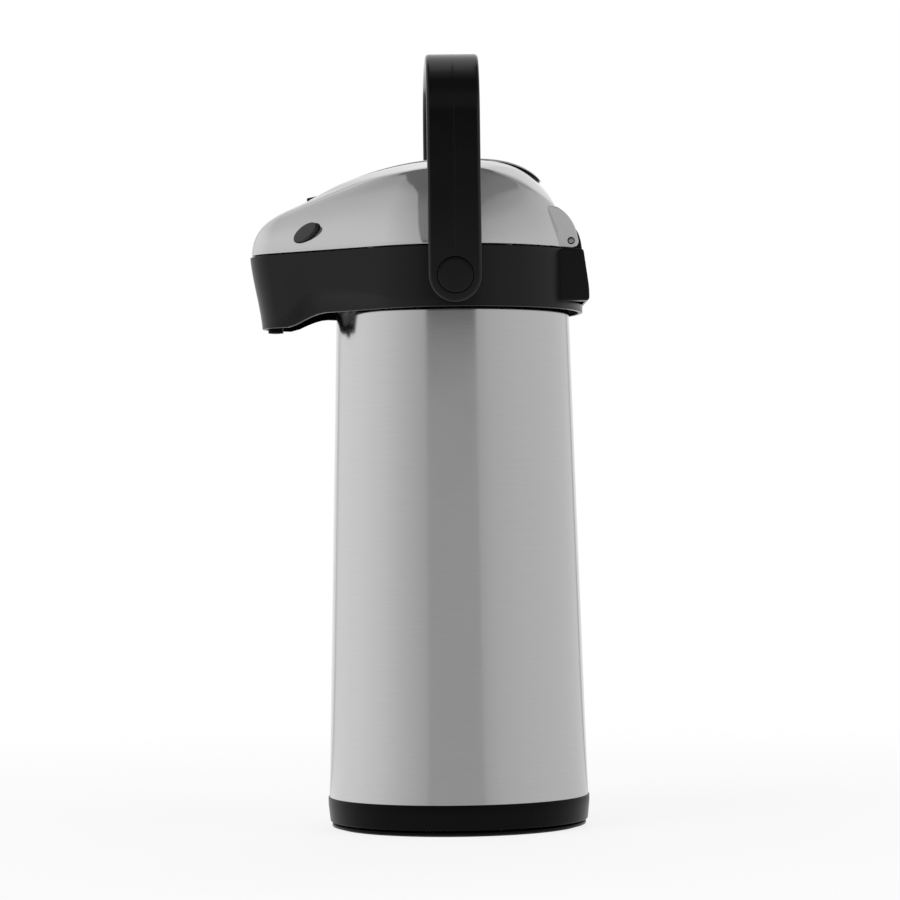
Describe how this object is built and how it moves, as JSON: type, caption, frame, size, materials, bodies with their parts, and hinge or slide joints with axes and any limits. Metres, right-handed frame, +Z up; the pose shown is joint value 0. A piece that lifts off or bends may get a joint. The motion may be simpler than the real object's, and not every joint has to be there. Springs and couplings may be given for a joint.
{
  "type": "airpot",
  "caption": "Pump vacuum jug: tapered steel casing, spouted collar, domed hinged lid with a lever pump plate, bail handle and swivel foot.",
  "frame": {"origin": "centre of the foot's bottom face, on the jug's axis, at table level", "axes": "+Z up along the jug's axis, -X towards the spout, +X towards the lid's hinge, Y across the handle"},
  "size_m": [0.1939, 0.166, 0.4374],
  "materials": {
    "casing_steel": "satin lacquered steel",
    "silver_plastic": "silver lacquered plastic",
    "black_plastic": "fine satin moulded plastic",
    "handle_plastic": "satin moulded plastic, glossier over the bend",
    "white_plastic": "food-safe moulded plastic",
    "clear_plastic": "natural polypropylene",
    "grey_rubber": "matt moulded rubber",
    "white_rubber": "matt silicone",
    "liner_glass": "silvered double-walled glass",
    "pin_steel": "bright drawn steel"
  },
  "bodies": {
    "jug": {"outer_casing": "casing_steel", "glass_liner": "liner_glass", "liner_cushion": "grey_rubber", "liner_gasket": "grey_rubber", "base_ring": "black_plastic", "base_cap": "black_plastic", "collar": "black_plastic", "hinge_pin": "pin_steel", "spout_nozzle": "black_plastic", "outlet_pipe": "clear_plastic", "outlet_seal": "grey_rubber", "tube_elbow": "clear_plastic", "dip_tube": "clear_plastic", "pivot_studs": "black_plastic"},
    "lid": {"lid_shell": "silver_plastic", "lid_base": "white_plastic", "lid_screws": "pin_steel", "bellows": "grey_rubber", "return_spring": "pin_steel", "mouth_gasket": "white_rubber", "air_valve": "white_rubber", "plate_pin": "pin_steel", "button_springs": "pin_steel"},
    "push_plate": {"push_plate": "silver_plastic", "plate_skirt": "black_plastic"},
    "bellows_top": {"bellows_cap": "black_plastic"},
    "pump_lock": {"lock_slider": "black_plastic"},
    "button_left": {"release_button_left": "black_plastic"},
    "button_right": {"release_button_right": "black_plastic"},
    "handle": {"handle": "handle_plastic"},
    "turntable": {"swivel_foot": "black_plastic", "foot_pad": "grey_rubber", "slip_ring": "white_plastic", "swivel_washer": "pin_steel", "swivel_screw": "pin_steel"},
    "ball": {"spill_ball": "white_plastic"}
  },
  "joints": [
    {"name": "lid_hinge", "type": "hinge", "parent": "jug", "child": "lid", "pos_m": [0.0662, 0, 0.33], "axis": [0, 1, 0], "range_deg": [0, 90]},
    {"name": "handle_swing", "type": "hinge", "parent": "jug", "child": "handle", "pos_m": [0, 0, 0.308], "axis": [0, 1, 0], "range_deg": [-90, 90]},
    {"name": "plate_hinge", "type": "hinge", "parent": "lid", "child": "push_plate", "pos_m": [-0.076, 0, 0.3559], "axis": [0, 1, 0], "range_deg": [0, 14.7], "stiffness_Nm_per_rad": 3, "springref_deg": -5.73},
    {"name": "bellows_slide", "type": "slide", "parent": "lid", "child": "bellows_top", "axis": [0, 0, -1], "range_m": [0, 0.0198], "deforming": ["bellows", "return_spring"]},
    {"name": "lock_slide", "type": "slide", "parent": "lid", "child": "pump_lock", "axis": [0, 1, 0], "range_m": [0, 0.004]},
    {"name": "button_left_press", "type": "slide", "parent": "lid", "child": "button_left", "axis": [0.5329, -0.8113, -0.2402], "range_m": [0, 0.0016], "stiffness_N_per_m": 400, "springref_m": -0.002},
    {"name": "button_right_press", "type": "slide", "parent": "lid", "child": "button_right", "axis": [0.5329, 0.8113, -0.2402], "range_m": [0, 0.0016], "stiffness_N_per_m": 400, "springref_m": -0.002},
    {"name": "foot_swivel", "type": "hinge", "parent": "jug", "child": "turntable", "pos_m": [0, 0, 0], "axis": [0, 0, 1], "continuous": true},
    {"name": "ball_lift", "type": "slide", "parent": "jug", "child": "ball", "axis": [0, 0, 1], "range_m": [0, 0.0018]}
  ],
  "couplings": [
    {"joint": "handle_swing", "follows": "lid_hinge", "ratio": 1},
    {"joint": "bellows_slide", "follows": "plate_hinge", "m_per_rad": 0.077}
  ]
}
